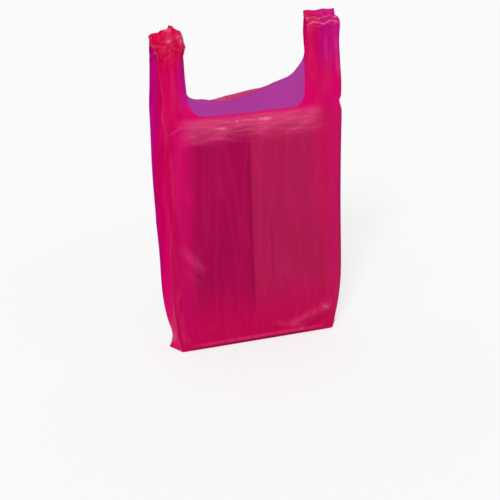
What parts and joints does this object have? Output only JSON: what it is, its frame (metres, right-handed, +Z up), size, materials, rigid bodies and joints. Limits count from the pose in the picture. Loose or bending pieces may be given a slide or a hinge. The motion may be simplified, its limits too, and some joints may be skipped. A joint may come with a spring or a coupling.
{
  "type": "plastic carrier bag",
  "caption": "Vest carrier bag of thin translucent film, standing open, with side pleats, welded base and die-cut handles.",
  "frame": {"origin": "middle of the bounding box, on the floor under the base", "axes": "+Z up towards the handles, -Y out of the front panel, +X to the right seen from the front"},
  "size_m": [0.28, 0.0982, 0.4968],
  "materials": {
    "film": "glossy translucent magenta-pink polyethylene film with fine creases"
  },
  "bodies": {
    "root": {"film_bag": "film"}
  },
  "joints": []
}
